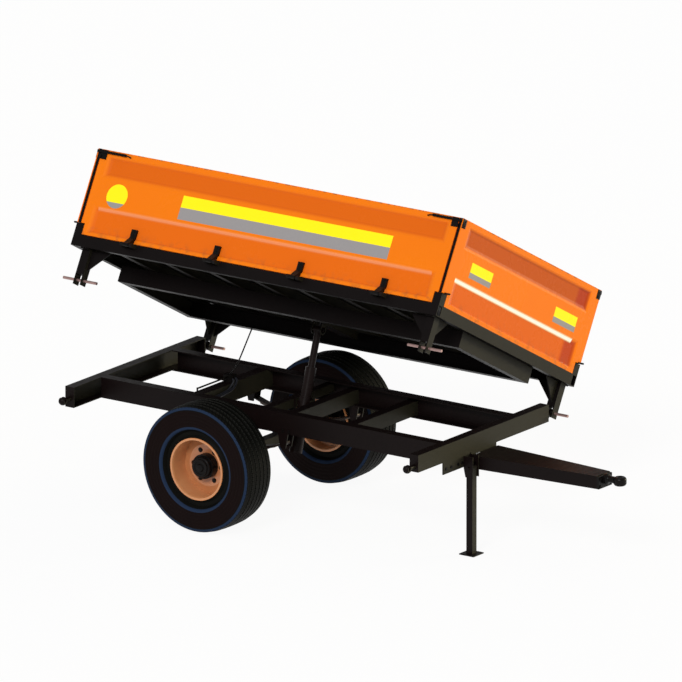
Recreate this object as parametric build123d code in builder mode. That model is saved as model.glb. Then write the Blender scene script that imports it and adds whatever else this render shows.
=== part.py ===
"""Single-axle farm trailer with a three-way tipping box, drawn tipped to its left.

Millimetres. +X is forward along the drawbar, +Y is left, +Z is up.
The origin is the centre of the tow eye.
"""
from math import cos, radians, sin
import os

from build123d import *

os.makedirs("parts", exist_ok=True)

# Running and sliding fits
fit = 0.3

# Coupling and axle
eye_height = 650
axle_size = 70
track = 1470

# Tyres: each sidewall is a flat ring with a hollow between it and the rim
tyre_radius = 446
tyre_width = 286
shoulder_radius = 437
shoulder_half = 134
crown_fall = 6
sidewall_outer = 412
sidewall_inner = 300
hollow_edge = 284
hollow_edge_drop = 5
hollow_outer = 262
hollow_inner = 236
hollow_deep = 40
groove_count = 5
groove_pitch = 44
groove_width = 10
groove_deep = 9
groove_draft = 2

# Rims
bead_radius = 206
rim_flange_radius = 218
rim_flange_wall = 7.6
rim_width = 250
rim_wall = 6
rim_lip = 4
rim_lip_run = 14
disc_place = -10
disc_wall = 9
disc_crown = 8
disc_crown_radius = 146
disc_fall = 12
stud_circle = 230
stud_count = 6
stud_hole = 18

# Hubs
hub_radius = 86
hub_proud = 60
hub_cap_radius = 74
hub_cap_length = 28
hub_cap_chamfer = 6
hub_drum_radius = 64
hub_drum_length = 56
hub_flange_margin = 16
hub_flange_wall = 14
hub_to_beam = 6
spindle_radius = 26
spindle_room = 18

# Chassis
chassis_bottom = 675
rail_depth = 145
rail_flange = 75
rail_wall = 7
rail_outer = 450
rear_beam_x = -1130
front_beam_depth = 120
beam_flange = 72

# Pin seats at the four ends of the crossbeams
pin_radius = 10
pin_length = 280
seat_ball = 30
seat_flat = 22
seat_arm = 16
seat_arm_length = 78
seat_reach = 845
seat_rise = 62
slot_spare = 2

# Crossmembers between the rails
crossmember_wall = 6
crossmember_table = (
    # ahead of the axle, depth, width
    (-336, 131, 84),
    (392, 100, 74),
    (885, 100, 74),
)
cradle_tube_x = 194
cradle_tube = 60
cradle_tube_wall = 5

# Drawbar: from the front crossbeam to the tow eye, behind that beam, and from its head to the eye
drawbar_reach = 1164
drawbar_behind = 106
head_to_eye = 138
drawbar_depth = 86
drawbar_flange = 62
drawbar_wall = 7
drawbar_rear_half = 165
drawbar_front_half = 78
drawbar_plate_wall = 5
drawbar_plate_gap = 12
packer_margin = 4
head_wall = 18
eye_radius = 45
eye_bore = 21
eye_thick = 62
eye_round = 20
eye_shank = 24

# Parking stand and its bracket
stand_ahead = 40
stand_pivot_z = 612
stand_leg = 50
stand_centre_y = -199
stand_foot = 120
stand_foot_wall = 8
stand_pin_end = 10
stand_side_gap = 5
lug_wall = 8
lug_width = 76
lug_top = 693
lug_bottom = 546
lug_slant = 16
bracket_reach = 474
bracket_bottom = 615

# Springs and their hangers
spring_y = 412
spring_half = 430
spring_width = 60
spring_taper = 0.17
spring_eye_radius = 18
spring_pin_radius = 10
spring_eye_z = 606
leaf = 9
leaf_count = 5
hanger_width = 84
hanger_foot = 44
hanger_below_eye = 34
hanger_wall = 8

# Tipping valve on the rear crossmember
valve_length = 70
valve_width = 56
valve_height = 52
valve_rod_radius = 6
valve_rod_rise = 37
valve_rod_end = 380
valve_rod_drop = 22

# Tipping box
tip_now = 28.5
bed_length = 3048
rear_overhang = 105
front_overhang = 67
side_overhang = 80
side_height = 610
side_wall = 30
side_gap = 5
frame_depth = 80
frame_flange = 48
frame_wall = 6
floor_wall = 5
floor_member_count = 7
floor_member_width = 46
floor_member_wall = 5
post_size = 60
post_height = 78

# Legs of the box and their gussets
leg_height = 218
leg_size = 64
leg_wall = 6
leg_below = 34
leg_mouth = 38
leg_head_reach = 60
leg_head_wall = 8
gusset = 150
gusset_wall = 8

# Sub-frame
subframe_depth = 112
subframe_width = 62
subframe_wall = 6
subframe_half = 465
subframe_rear_gap = 35
subframe_front_gap = 8

# Pressed panels: plain ends, then hollows with sloped borders and a band between them
recess_deep = 12
recess_slope = 45
side_plain = 60
headboard_plain = 100
tailgate_plain = 80
recess_table = (
    # above the panel's foot: border starts, hollow starts, hollow ends, border ends
    (20, 36, 175, 215),
    (414, 450, 545, 568),
)

# Hinges of the drop sides and the tailgate
hinge_out = 55
hinge_drop = 16
hinge_pin = 8
knuckle = 26
knuckle_half = 14
knuckle_gap = 2
strap_width = 44
strap_wall = 8
strap_eye_wall = 6
strap_heel = 6
strap_bend = 40
strap_top = 98
strap_root_in = 4
strap_root_low = 6
strap_root_high = 10
side_straps = 4
side_strap_end = 480
tail_straps = 3
tail_strap_end = 250

# Corner latches on the drop sides
latch_long = 50
latch_tall = 65
latch_below_top = 4
latch_block_wall = 8
lever_wall = 8
lever_tall = 18
lever_reach = 210
lever_past = 30
lever_below_top = 10

# Tipping ram
ram_x = 290
ram_pivot_z = 760
ram_top_z = 120
barrel_radius = 45
barrel_below = 340
barrel_above = 46
barrel_wall = 5
stage_radius = 38
stage_top = 252
stage_length = 384
rod_radius = 24
rod_length = 420
ram_clear = 0.5
trunnion_radius = 16
bearing_size = 64
bearing_wall = 14
ram_pin = 9
ram_pin_end = 4
ram_head_gap = 4
ram_ear_wall = 10
ram_ear_gap = 30
ram_ear_hole = 24
ram_ear_rim = 10
ram_ear_root = 10
bridge_depth = 54
bridge_width = 110
bridge_wall = 6
bridge_floor = 4

# Derived places: those named _x and given ahead of the axle go through along()
bed_rear_x = rear_beam_x - rear_overhang
bed_front_x = bed_rear_x + bed_length
front_beam_x = bed_front_x - front_overhang
eye_to_axle = front_beam_x + drawbar_reach
drawbar_rear_x = front_beam_x - drawbar_behind
drawbar_front_x = eye_to_axle - head_to_eye
axle_x = -eye_to_axle
floor_z = -eye_height
axle_z = floor_z + tyre_radius
wheel_y = track / 2
seat_height = chassis_bottom + seat_rise
beam_half_length = seat_reach - seat_arm_length
front_beam_top = chassis_bottom + rail_depth


def along(distance):
    """X of a place given by its distance ahead of the axle."""
    return axle_x + distance


def up(height):
    """Z of a place given by its height above the ground."""
    return floor_z + height


def keep(builder, name):
    builder.part.label = name
    export_step(builder.part, f"parts/{name}.step")


def face_of(*points):
    """Face whose corners are given in the sketch's own x and y."""
    Polygon(*points, align=None)


def box_face(x_low, x_high, y_low, y_high):
    """Rectangular face given by its limits in the sketch's own x and y."""
    Polygon((x_low, y_low), (x_high, y_low), (x_high, y_high), (x_low, y_high), align=None)


def channel(x0, y0, depth, flange, wall, toward=1):
    """Face of a C-section: web outside at x0, centred on y0, flanges toward +x or -x."""
    half = depth / 2
    Polygon(
        (x0, y0 - half),
        (x0 + toward * flange, y0 - half),
        (x0 + toward * flange, y0 - half + wall),
        (x0 + toward * wall, y0 - half + wall),
        (x0 + toward * wall, y0 + half - wall),
        (x0 + toward * flange, y0 + half - wall),
        (x0 + toward * flange, y0 + half),
        (x0, y0 + half),
        align=None,
    )


# Wheels: tyre, rim with its disc, and hub, one set on each side
half_tyre = tyre_width / 2
half_rim = rim_width / 2
bead_half = half_rim - rim_flange_wall - fit
rim_inner = bead_radius - fit - rim_wall
groove_half = groove_width / 2
first_groove = -(groove_count - 1) / 2 * groove_pitch
disc_back = disc_place - disc_wall
flange_front = disc_back - fit
flange_back = disc_back - hub_flange_wall
flange_radius = stud_circle / 2 + hub_flange_margin
hub_back = flange_back - hub_drum_length
hub_front = disc_place + hub_proud
cap_front = hub_front + hub_cap_length

for side, outward in (("right", -1), ("left", 1)):
    wheel_centre = (axle_x, outward * wheel_y, axle_z)
    hub_plane = Plane(origin=wheel_centre, x_dir=(0, outward, 0), z_dir=(outward, 0, 0))
    face_plane = Plane(origin=wheel_centre, x_dir=(1, 0, 0), z_dir=(0, outward, 0))
    wheel_axis = Axis(wheel_centre, (0, outward, 0))

    tread = [(-shoulder_half, shoulder_radius)]
    for count in range(groove_count):
        place = first_groove + count * groove_pitch
        crown = tyre_radius - crown_fall * (place / shoulder_half) ** 2
        tread.append((place - groove_half - groove_draft, crown))
        tread.append((place - groove_half, crown - groove_deep))
        tread.append((place + groove_half, crown - groove_deep))
        tread.append((place + groove_half + groove_draft, crown))
    tread.append((shoulder_half, shoulder_radius))
    sidewall = (
        (bead_half, bead_radius),
        (bead_half, rim_flange_radius + fit),
        (half_tyre - hollow_deep, hollow_inner),
        (half_tyre - hollow_deep, hollow_outer),
        (half_tyre - hollow_edge_drop, hollow_edge),
        (half_tyre, sidewall_inner),
        (half_tyre, sidewall_outer),
    )
    with BuildPart() as tyre:
        with BuildSketch(hub_plane):
            face_of(*[(-x, y) for x, y in reversed(sidewall)], *sidewall, *reversed(tread))
        revolve(axis=wheel_axis)
    keep(tyre, f"tyre_{side}")

    with BuildPart() as rim:
        with BuildSketch(hub_plane):
            face_of(
                (-half_rim, rim_flange_radius),
                (-half_rim, rim_inner + rim_lip),
                (-half_rim + rim_lip_run, rim_inner),
                (disc_back - disc_fall, rim_inner),
                (disc_back + disc_crown, disc_crown_radius),
                (disc_back, hub_radius + fit),
                (disc_place, hub_radius + fit),
                (disc_place + disc_crown, disc_crown_radius),
                (disc_place - disc_fall, rim_inner),
                (half_rim - rim_lip_run, rim_inner),
                (half_rim, rim_inner + rim_lip),
                (half_rim, rim_flange_radius),
                (half_rim - rim_flange_wall, rim_flange_radius),
                (half_rim - rim_flange_wall, bead_radius - fit),
                (-half_rim + rim_flange_wall, bead_radius - fit),
                (-half_rim + rim_flange_wall, rim_flange_radius),
            )
        revolve(axis=wheel_axis)
        with BuildSketch(face_plane.offset(disc_back)):
            with PolarLocations(stud_circle / 2, stud_count):
                Circle(stud_hole / 2)
        extrude(amount=disc_wall + disc_crown, mode=Mode.SUBTRACT)
    keep(rim, f"rim_{side}")

    with BuildPart() as hub:
        with BuildSketch(hub_plane):
            face_of(
                (hub_back, spindle_radius + fit),
                (hub_back, hub_drum_radius),
                (flange_back, hub_drum_radius),
                (flange_back, flange_radius),
                (flange_front, flange_radius),
                (flange_front, hub_radius),
                (hub_front, hub_radius),
                (hub_front, hub_cap_radius),
                (cap_front - hub_cap_chamfer, hub_cap_radius),
                (cap_front, hub_cap_radius - hub_cap_chamfer),
                (cap_front, 0),
                (hub_front, 0),
                (hub_front, spindle_radius + fit),
            )
        revolve(axis=wheel_axis)
    keep(hub, f"hub_{side}")

# Axle: square beam with a turned spindle at each end
spindle_end = wheel_y + hub_front - spindle_room
beam_end = wheel_y + hub_back - hub_to_beam
with BuildPart() as axle_beam:
    with BuildSketch(Plane.XZ.offset(-beam_end)):
        with Locations((axle_x, axle_z)):
            Rectangle(axle_size, axle_size)
    extrude(amount=2 * beam_end)
    with BuildSketch(Plane.XZ.offset(-spindle_end)):
        with Locations((axle_x, axle_z)):
            Circle(spindle_radius)
    extrude(amount=2 * spindle_end)
keep(axle_beam, "axle_beam")

# Leaf springs: stacked leaves, longest on top, rolled eyes at the ends
spring_top = axle_z + axle_size / 2 + leaf_count * leaf
sag = up(spring_eye_z) - spring_top
eye_places = ((axle_x - spring_half, up(spring_eye_z)), (axle_x + spring_half, up(spring_eye_z)))
with BuildPart() as leaf_springs:
    for y in (-spring_y, spring_y):
        for step in range(leaf_count):
            reach = spring_half * (1 - spring_taper * step)
            rise = sag * (reach / spring_half) ** 2
            top = spring_top - step * leaf
            with BuildSketch(Plane.XZ.offset(-y - spring_width / 2)):
                with BuildLine():
                    ThreePointArc((axle_x - reach, top + rise), (axle_x, top), (axle_x + reach, top + rise))
                    Line((axle_x + reach, top + rise), (axle_x + reach, top + rise - leaf))
                    ThreePointArc(
                        (axle_x + reach, top + rise - leaf),
                        (axle_x, top - leaf),
                        (axle_x - reach, top + rise - leaf),
                    )
                    Line((axle_x - reach, top + rise - leaf), (axle_x - reach, top + rise))
                make_face()
            extrude(amount=spring_width)
        with BuildSketch(Plane.XZ.offset(-y - spring_width / 2)):
            with Locations(*eye_places):
                Circle(spring_eye_radius)
        extrude(amount=spring_width)
        with BuildSketch(Plane.XZ.offset(-y - spring_width / 2)):
            with Locations(*eye_places):
                Circle(spring_pin_radius)
        extrude(amount=spring_width, mode=Mode.SUBTRACT)
keep(leaf_springs, "leaf_springs")

# Chassis rails with their spring hangers
rail_mid = up(chassis_bottom + rail_depth / 2)
rail_rear = along(rear_beam_x) + beam_flange / 2
rail_front = along(front_beam_x) - beam_flange / 2
hanger_top = up(chassis_bottom)
hanger_low = up(spring_eye_z) - hanger_below_eye
for side, outward in (("right", -1), ("left", 1)):
    with BuildPart() as rail:
        with BuildSketch(Plane.YZ.offset(rail_rear)):
            channel(outward * rail_outer, rail_mid, rail_depth, rail_flange, rail_wall, -outward)
        extrude(amount=rail_front - rail_rear)
        for x, eye_z in eye_places:
            for cheek in (-1, 1):
                y = outward * spring_y + cheek * (spring_width / 2 + fit + hanger_wall / 2)
                with BuildSketch(Plane.XZ.offset(-y - hanger_wall / 2)):
                    face_of(
                        (x - hanger_width / 2, hanger_top),
                        (x - hanger_foot / 2, hanger_low),
                        (x + hanger_foot / 2, hanger_low),
                        (x + hanger_width / 2, hanger_top),
                    )
                extrude(amount=hanger_wall)
            with BuildSketch(Plane.XZ.offset(-outward * spring_y - spring_width / 2 - hanger_wall)):
                with Locations((x, eye_z)):
                    Circle(spring_pin_radius - fit)
            extrude(amount=spring_width + 2 * hanger_wall)
    keep(rail, f"rail_{side}")

# Crossbeams with closed ends
beam_table = (
    # name, ahead of the axle, depth, height of its bottom, side its web is on
    ("rear_crossbeam", rear_beam_x, rail_depth, chassis_bottom, -1),
    ("front_crossbeam", front_beam_x, front_beam_depth, front_beam_top - front_beam_depth, 1),
)
for name, ahead, depth, bottom, web_side in beam_table:
    web_x = along(ahead) + web_side * beam_flange / 2
    middle = up(bottom + depth / 2)
    with BuildPart() as beam:
        with BuildSketch(Plane.XZ.offset(-beam_half_length)):
            channel(web_x, middle, depth, beam_flange, rail_wall, -web_side)
        extrude(amount=2 * beam_half_length)
        for outward in (-1, 1):
            with BuildSketch(Plane.XZ.offset(-outward * beam_half_length)):
                with Locations((along(ahead), middle)):
                    Rectangle(beam_flange, depth)
            extrude(amount=outward * rail_wall)
    keep(beam, name)

# Pin seats: balls on arms welded to the beams' ends, flattened and slotted from above
with BuildPart() as pin_seats:
    for ahead in (rear_beam_x, front_beam_x):
        for outward in (-1, 1):
            with BuildSketch(Plane.XZ.offset(-outward * beam_half_length)):
                with Locations((along(ahead), up(seat_height))):
                    Circle(seat_arm)
            extrude(amount=-outward * seat_arm_length)
            with Locations((along(ahead), outward * seat_reach, up(seat_height))):
                Sphere(seat_ball)
        for flat in (-1, 1):
            with BuildSketch(Plane.YZ.offset(along(ahead) + flat * seat_flat)):
                for outward in (-1, 1):
                    with Locations((outward * seat_reach, up(seat_height))):
                        Circle(seat_ball + slot_spare)
            extrude(amount=flat * seat_ball, mode=Mode.SUBTRACT)
        with BuildSketch(Plane.YZ.offset(along(ahead) - seat_ball)):
            for outward in (-1, 1):
                with Locations((outward * seat_reach, up(seat_height))):
                    Circle(pin_radius + fit)
                with Locations((outward * seat_reach, up(seat_height) + (seat_ball + slot_spare) / 2)):
                    Rectangle(2 * (pin_radius + slot_spare), seat_ball + slot_spare)
        extrude(amount=2 * seat_ball, mode=Mode.SUBTRACT)
keep(pin_seats, "pin_seats")

# Crossmembers between the rails, with the two bearing blocks of the ram
inside = rail_outer - rail_wall
member_base = up(chassis_bottom) + rail_wall
middle_ahead, _, middle_width = crossmember_table[1]
rear_block_x = along(cradle_tube_x) + cradle_tube / 2
front_block_x = along(middle_ahead) - middle_width / 2 - bearing_wall
with BuildPart() as crossmembers:
    for ahead, depth, width in crossmember_table:
        with BuildSketch(Plane.XZ.offset(-inside)):
            channel(along(ahead) + width / 2, member_base + depth / 2, depth, width, crossmember_wall, -1)
        extrude(amount=2 * inside)
    with BuildSketch(Plane.XZ.offset(-inside)):
        with Locations((along(cradle_tube_x), up(ram_pivot_z))):
            Rectangle(cradle_tube, cradle_tube)
            Rectangle(
                cradle_tube - 2 * cradle_tube_wall, cradle_tube - 2 * cradle_tube_wall, mode=Mode.SUBTRACT
            )
    extrude(amount=2 * inside)
    for x in (rear_block_x, front_block_x):
        with BuildSketch(Plane.YZ.offset(x)):
            with Locations((0, up(ram_pivot_z))):
                Rectangle(bearing_size, bearing_size)
        extrude(amount=bearing_wall)
    with BuildSketch(Plane.YZ.offset(rear_block_x)):
        with Locations((0, up(ram_pivot_z))):
            Circle(trunnion_radius + fit)
    extrude(amount=front_block_x + bearing_wall - rear_block_x, mode=Mode.SUBTRACT)
keep(crossmembers, "crossmembers")

# Drawbar: two channels that run together, a cover plate and the head plate
drawbar_mid = up(chassis_bottom - drawbar_depth / 2)
run = drawbar_front_x - drawbar_rear_x
for side, outward in (("right", -1), ("left", 1)):
    with BuildPart() as bar:
        for ahead, half in ((drawbar_rear_x, drawbar_rear_half), (drawbar_front_x, drawbar_front_half)):
            with BuildSketch(Plane.YZ.offset(along(ahead))):
                channel(outward * half, drawbar_mid, drawbar_depth, drawbar_flange, drawbar_wall, -outward)
        loft(ruled=True)
    keep(bar, f"drawbar_{side}")


def drawbar_half(ahead):
    """Half width of the drawbar at a distance ahead of the axle."""
    share = (ahead - drawbar_rear_x) / run
    return drawbar_rear_half + share * (drawbar_front_half - drawbar_rear_half)


beam_rear_face = front_beam_x - beam_flange / 2
beam_front_face = front_beam_x + beam_flange / 2
plate_rear_x = beam_front_face + drawbar_plate_gap
with BuildPart() as drawbar_plate:
    with BuildSketch(Plane.XY.offset(up(chassis_bottom))):
        face_of(
            (along(plate_rear_x), -drawbar_half(plate_rear_x)),
            (along(drawbar_front_x), -drawbar_half(drawbar_front_x)),
            (along(drawbar_front_x), drawbar_half(drawbar_front_x)),
            (along(plate_rear_x), drawbar_half(plate_rear_x)),
        )
    extrude(amount=drawbar_plate_wall)
    # Packer under the front crossbeam
    with BuildSketch(Plane.XY.offset(up(chassis_bottom))):
        face_of(
            (along(beam_rear_face), -drawbar_half(beam_rear_face) + packer_margin),
            (along(beam_front_face), -drawbar_half(beam_front_face) + packer_margin),
            (along(beam_front_face), drawbar_half(beam_front_face) - packer_margin),
            (along(beam_rear_face), drawbar_half(beam_rear_face) - packer_margin),
        )
    extrude(amount=front_beam_top - front_beam_depth - chassis_bottom)
keep(drawbar_plate, "drawbar_plate")

# Tow eye: rounded ring and shank on the head plate
with BuildPart() as tow_eye:
    with BuildSketch(Plane.XY.offset(-eye_thick / 2)):
        Circle(eye_radius)
    extrude(amount=eye_thick)
    fillet(tow_eye.edges().filter_by(GeomType.CIRCLE), radius=eye_round)
    with BuildSketch(Plane.YZ.offset(along(drawbar_front_x))):
        box_face(
            -drawbar_front_half, drawbar_front_half,
            up(chassis_bottom - drawbar_depth), up(chassis_bottom),
        )
    extrude(amount=head_wall)
    with BuildSketch(Plane.YZ.offset(along(drawbar_front_x))):
        Circle(eye_shank)
    extrude(amount=eye_to_axle - drawbar_front_x)
    with BuildSketch(Plane.XY.offset(-eye_thick / 2)):
        Circle(eye_bore)
    extrude(amount=eye_thick, mode=Mode.SUBTRACT)
keep(tow_eye, "tow_eye")

# Stand bracket: cross plate under the front crossbeam and two lugs
bracket_face = along(beam_front_face)
stand_x = bracket_face + stand_ahead
lug_inner_y = stand_centre_y + stand_leg / 2 + stand_side_gap
lug_outer_y = stand_centre_y - stand_leg / 2 - stand_side_gap
lug_span = lug_inner_y - lug_outer_y + 2 * lug_wall
with BuildPart() as stand_bracket:
    with BuildSketch(Plane.YZ.offset(bracket_face - lug_wall)):
        box_face(
            -bracket_reach, lug_inner_y + lug_wall,
            up(bracket_bottom), up(front_beam_top - front_beam_depth),
        )
    extrude(amount=lug_wall)
    for y in (lug_outer_y - lug_wall, lug_inner_y):
        with BuildSketch(Plane.XZ.offset(-y - lug_wall)):
            face_of(
                (bracket_face, up(lug_top)),
                (bracket_face, up(bracket_bottom)),
                (bracket_face + lug_slant, up(lug_bottom)),
                (bracket_face + lug_width, up(lug_bottom)),
                (bracket_face + lug_width, up(lug_top)),
            )
        extrude(amount=lug_wall)
    with BuildSketch(Plane.XZ.offset(-lug_inner_y - lug_wall)):
        with Locations((stand_x, up(stand_pivot_z))):
            Circle(pin_radius + fit)
    extrude(amount=lug_span, mode=Mode.SUBTRACT)
keep(stand_bracket, "stand_bracket")

# Parking stand: square leg on its pivot pin, with a foot plate
with BuildPart() as parking_stand:
    with BuildSketch(Plane.XZ.offset(-stand_centre_y - stand_leg / 2)):
        with Locations((stand_x, up(stand_pivot_z))):
            Circle(stand_leg / 2)
        with Locations((stand_x, up((stand_pivot_z + stand_foot_wall) / 2))):
            Rectangle(stand_leg, stand_pivot_z - stand_foot_wall)
    extrude(amount=stand_leg)
    with BuildSketch(Plane.XY.offset(floor_z)):
        with Locations((stand_x, stand_centre_y)):
            Rectangle(stand_foot, stand_foot)
    extrude(amount=stand_foot_wall)
    with BuildSketch(Plane.XZ.offset(-lug_inner_y - lug_wall)):
        with Locations((stand_x, up(stand_pivot_z))):
            Circle(pin_radius)
    extrude(amount=lug_span + stand_pin_end)
keep(parking_stand, "parking_stand")

# Tipping valve on the rear crossmember, with its rod to the near side
valve_ahead, valve_member_depth, _ = crossmember_table[0]
valve_base = member_base + valve_member_depth
rod_z = valve_base + valve_rod_rise
with BuildPart() as control_valve:
    with BuildSketch(Plane.XY.offset(valve_base)):
        with Locations((along(valve_ahead), 0)):
            Rectangle(valve_length, valve_width)
    extrude(amount=valve_height)
    with BuildSketch(Plane.XZ.offset(valve_width / 2)):
        with Locations((along(valve_ahead), rod_z)):
            Circle(valve_rod_radius)
    extrude(amount=valve_rod_end - valve_width / 2)
    with BuildSketch(Plane.XY.offset(rod_z - valve_rod_drop)):
        with Locations((along(valve_ahead), -valve_rod_end)):
            Circle(valve_rod_radius)
    extrude(amount=valve_rod_drop + valve_rod_radius)
keep(control_valve, "control_valve")

# The box stands on planes that lie tipped about the far pin seats
bed = Plane(
    origin=(axle_x, seat_reach, up(seat_height)),
    x_dir=(1, 0, 0),
    z_dir=(0, sin(radians(tip_now)), cos(radians(tip_now))),
)


def bed_across(x):
    """Plane across the box, x ahead of the axle; sketch x is left, sketch y is up."""
    return Plane(origin=bed.from_local_coords((x, 0, 0)), x_dir=bed.y_dir, z_dir=bed.x_dir)


def bed_beside(y):
    """Plane along the box, y left of the far pins; sketch x is ahead, sketch y is up."""
    return Plane(origin=bed.from_local_coords((0, y, 0)), x_dir=bed.x_dir, z_dir=-bed.y_dir)


bed_middle_y = -seat_reach
bed_near_y = bed_middle_y - seat_reach - side_overhang
bed_far_y = bed_middle_y + seat_reach + side_overhang
frame_bottom = leg_height
frame_top = frame_bottom + frame_depth
frame_mid = frame_bottom + frame_depth / 2
side_bottom = frame_top + side_gap
side_top = frame_top + side_height
hinge_z = frame_top - hinge_drop
inner_near = bed_near_y + frame_flange
inner_far = bed_far_y - frame_flange

# Frame of the box: side members and the rear member carry the hinge knuckles
half_gap = strap_width / 2 + knuckle_gap
strap_pitch = (bed_length - 2 * side_strap_end) / (side_straps - 1)
strap_places = [bed_rear_x + side_strap_end + strap_pitch * step for step in range(side_straps)]
tail_pitch = (bed_far_y - bed_near_y - 2 * tail_strap_end) / (tail_straps - 1)
tail_places = [bed_near_y + tail_strap_end + tail_pitch * step for step in range(tail_straps)]

for side, outward, edge in (("right", -1, bed_near_y), ("left", 1, bed_far_y)):
    pin_y = edge + outward * hinge_out
    with BuildPart() as frame_side:
        with BuildSketch(bed_across(bed_rear_x)):
            channel(edge, frame_mid, frame_depth, frame_flange, frame_wall, -outward)
        extrude(amount=bed_length)
        for x in strap_places:
            for start in (x - half_gap - knuckle, x + half_gap):
                with BuildSketch(bed_across(start)):
                    face_of(
                        (edge, hinge_z - knuckle_half),
                        (pin_y, hinge_z - knuckle_half),
                        (pin_y + outward * knuckle_half, hinge_z),
                        (pin_y, hinge_z + knuckle_half),
                        (edge, hinge_z + knuckle_half),
                    )
                extrude(amount=knuckle)
            with BuildSketch(bed_across(x - half_gap - knuckle)):
                with Locations((pin_y, hinge_z)):
                    Circle(hinge_pin)
            extrude(amount=2 * (half_gap + knuckle))
    keep(frame_side, f"frame_{side}")

tail_pin_x = bed_rear_x - hinge_out
for name, edge, ahead in (("frame_front", bed_front_x, 1), ("frame_rear", bed_rear_x, -1)):
    with BuildPart() as frame_end:
        with BuildSketch(bed_beside(inner_far)):
            channel(edge, frame_mid, frame_depth, frame_flange, frame_wall, -ahead)
        extrude(amount=inner_far - inner_near)
        if ahead < 0:
            for y in tail_places:
                for start in (y + half_gap + knuckle, y - half_gap):
                    with BuildSketch(bed_beside(start)):
                        face_of(
                            (edge, hinge_z - knuckle_half),
                            (tail_pin_x, hinge_z - knuckle_half),
                            (tail_pin_x - knuckle_half, hinge_z),
                            (tail_pin_x, hinge_z + knuckle_half),
                            (edge, hinge_z + knuckle_half),
                        )
                    extrude(amount=knuckle)
                with BuildSketch(bed_beside(y + half_gap + knuckle)):
                    with Locations((tail_pin_x, hinge_z)):
                        Circle(hinge_pin)
                extrude(amount=2 * (half_gap + knuckle))
    keep(frame_end, name)

# Corner posts on the frame
post_places = [
    (x, y)
    for x in (bed_rear_x + post_size / 2, bed_front_x - post_size / 2)
    for y in (bed_near_y + post_size / 2, bed_far_y - post_size / 2)
]
with BuildPart() as corner_posts:
    with BuildSketch(bed.offset(frame_top)):
        with Locations(*post_places):
            Rectangle(post_size, post_size)
    extrude(amount=post_height)
keep(corner_posts, "corner_posts")

# Floor sheet on its cross-members
floor_edge = side_wall + side_gap
with BuildPart() as bed_floor:
    with BuildSketch(bed.offset(frame_top)):
        box_face(
            bed_rear_x + floor_edge, bed_front_x - side_wall,
            bed_near_y + floor_edge, bed_far_y - floor_edge,
        )
        with Locations(*post_places):
            Rectangle(post_size, post_size, mode=Mode.SUBTRACT)
    extrude(amount=floor_wall)
keep(bed_floor, "bed_floor")

member_pitch = (bed_length - 2 * frame_flange) / (floor_member_count + 1)
with BuildPart() as floor_members:
    for step in range(floor_member_count):
        x = bed_rear_x + frame_flange + member_pitch * (step + 1)
        with BuildSketch(bed_beside(inner_far)):
            channel(x - floor_member_width / 2, frame_mid, frame_depth, floor_member_width, floor_member_wall)
        extrude(amount=inner_far - inner_near)
keep(floor_members, "floor_members")

# Sub-frame under the box: two beams with closed ends, and an end member at each end
subframe_near = bed_middle_y - subframe_half
subframe_far = bed_middle_y + subframe_half
subframe_rear_x = rear_beam_x + subframe_rear_gap
subframe_front_x = front_beam_x + subframe_front_gap
subframe_bottom = frame_bottom - subframe_depth
sub_mid = frame_bottom - subframe_depth / 2
between_beams = 2 * (subframe_half - subframe_width)
with BuildPart() as subframe_beams:
    for web_y, inner_y, toward in (
        (subframe_near, subframe_near + subframe_width, 1),
        (subframe_far, subframe_far - subframe_width, -1),
    ):
        with BuildSketch(bed_across(subframe_rear_x)):
            channel(web_y, sub_mid, subframe_depth, subframe_width, subframe_wall, toward)
        extrude(amount=subframe_front_x - subframe_rear_x)
        for x in (subframe_rear_x, subframe_front_x - subframe_wall):
            with BuildSketch(bed_across(x)):
                box_face(min(web_y, inner_y), max(web_y, inner_y), subframe_bottom, frame_bottom)
            extrude(amount=subframe_wall)
keep(subframe_beams, "subframe_beams")

with BuildPart() as subframe_ends:
    for x, toward in ((subframe_rear_x, 1), (subframe_front_x, -1)):
        with BuildSketch(bed_beside(subframe_far - subframe_width)):
            channel(x, sub_mid, subframe_depth, subframe_width, subframe_wall, toward)
        extrude(amount=between_beams)
keep(subframe_ends, "subframe_ends")

# Bridge between the sub-frame beams, with the two ears that take the ram's head
bridge_bottom = frame_bottom - bridge_depth
ear_radius = ram_ear_hole + ram_ear_rim
with BuildPart() as ram_bridge:
    with BuildSketch(bed_beside(subframe_far - subframe_width)):
        box_face(ram_x - bridge_width / 2, ram_x + bridge_width / 2, bridge_bottom, frame_bottom)
    extrude(amount=between_beams)
    with BuildSketch(bed_beside(subframe_far - subframe_width)):
        with Locations((ram_x, bridge_bottom + bridge_floor + bridge_depth / 2)):
            Rectangle(bridge_width - 2 * bridge_wall, bridge_depth)
    extrude(amount=between_beams, mode=Mode.SUBTRACT)
    for start in (ram_x - ram_ear_gap - ram_ear_wall, ram_x + ram_ear_gap):
        with BuildSketch(bed_across(start)):
            with Locations((bed_middle_y, ram_top_z)):
                Circle(ear_radius)
            box_face(
                bed_middle_y - ear_radius, bed_middle_y + ear_radius,
                ram_top_z, bridge_bottom + ram_ear_root,
            )
            with Locations((bed_middle_y, ram_top_z)):
                Circle(ram_ear_hole, mode=Mode.SUBTRACT)
        extrude(amount=ram_ear_wall)
keep(ram_bridge, "ram_bridge")

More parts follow.
